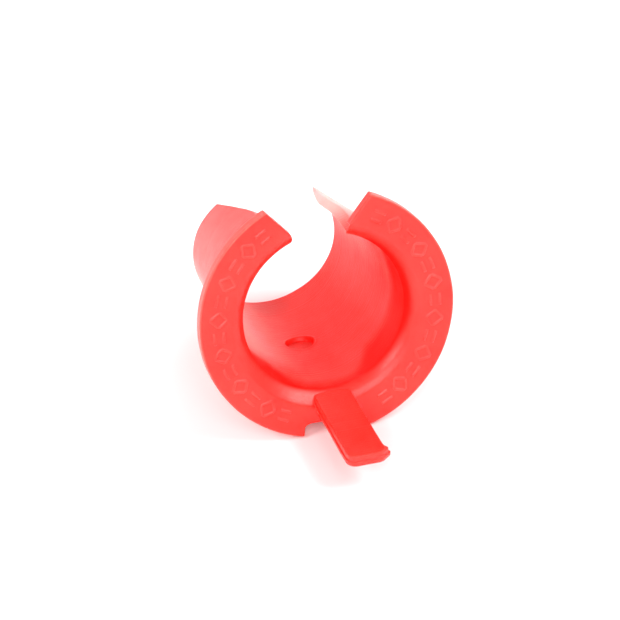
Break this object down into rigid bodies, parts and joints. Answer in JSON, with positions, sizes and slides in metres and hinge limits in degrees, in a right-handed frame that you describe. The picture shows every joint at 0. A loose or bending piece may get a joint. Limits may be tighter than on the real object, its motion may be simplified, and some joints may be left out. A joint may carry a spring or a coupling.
{
  "type": "split flanged bushing",
  "caption": "Split insulating bushing: thin C-shaped sleeve with a gapped round flange, a living hinge opposite the gap and a flat pull tongue.",
  "frame": {"origin": "on the bore axis, in the flange's seating face (the face that meets the end of the armour)", "axes": "+Y along the bore from the flange to the rear of the sleeve, +Z from the living hinge up to the gap, +X to the right seen from the front"},
  "size_m": [0.014, 0.019, 0.0132],
  "materials": {
    "moulding": "satin-gloss translucent red flexible plastic"
  },
  "bodies": {
    "left_half": {"left_flange_arm": "moulding", "left_sleeve_wall": "moulding", "left_wing": "moulding"},
    "right_half": {"right_flange_arm": "moulding", "right_sleeve_wall": "moulding", "right_wing": "moulding"},
    "web": {"hinge_web": "moulding", "sleeve_floor": "moulding", "left_flange_flexure": "moulding", "right_flange_flexure": "moulding", "left_sleeve_flexure": "moulding", "right_sleeve_flexure": "moulding", "tongue_flexure": "moulding"},
    "tongue": {"tongue": "moulding"}
  },
  "joints": [
    {"name": "squeeze", "type": "hinge", "parent": "left_half", "child": "right_half", "pos_m": [0, 0, -0.005], "axis": [0, -1, 0], "range_deg": [-8, 16], "stiffness_Nm_per_rad": 0.02, "deforming": ["right_flange_flexure", "right_sleeve_flexure"]},
    {"name": "web_bend", "type": "hinge", "parent": "left_half", "child": "web", "pos_m": [0, 0, -0.005], "axis": [0, -1, 0], "range_deg": [-4, 8], "deforming": ["left_flange_flexure", "left_sleeve_flexure"]},
    {"name": "tongue_bend", "type": "hinge", "parent": "web", "child": "tongue", "pos_m": [0, -0.0008, -0.00499], "axis": [1, 0, 0], "range_deg": [-25, 12], "stiffness_Nm_per_rad": 0.002, "deforming": ["tongue_flexure"]}
  ],
  "couplings": [
    {"joint": "web_bend", "follows": "squeeze", "ratio": 0.5}
  ]
}
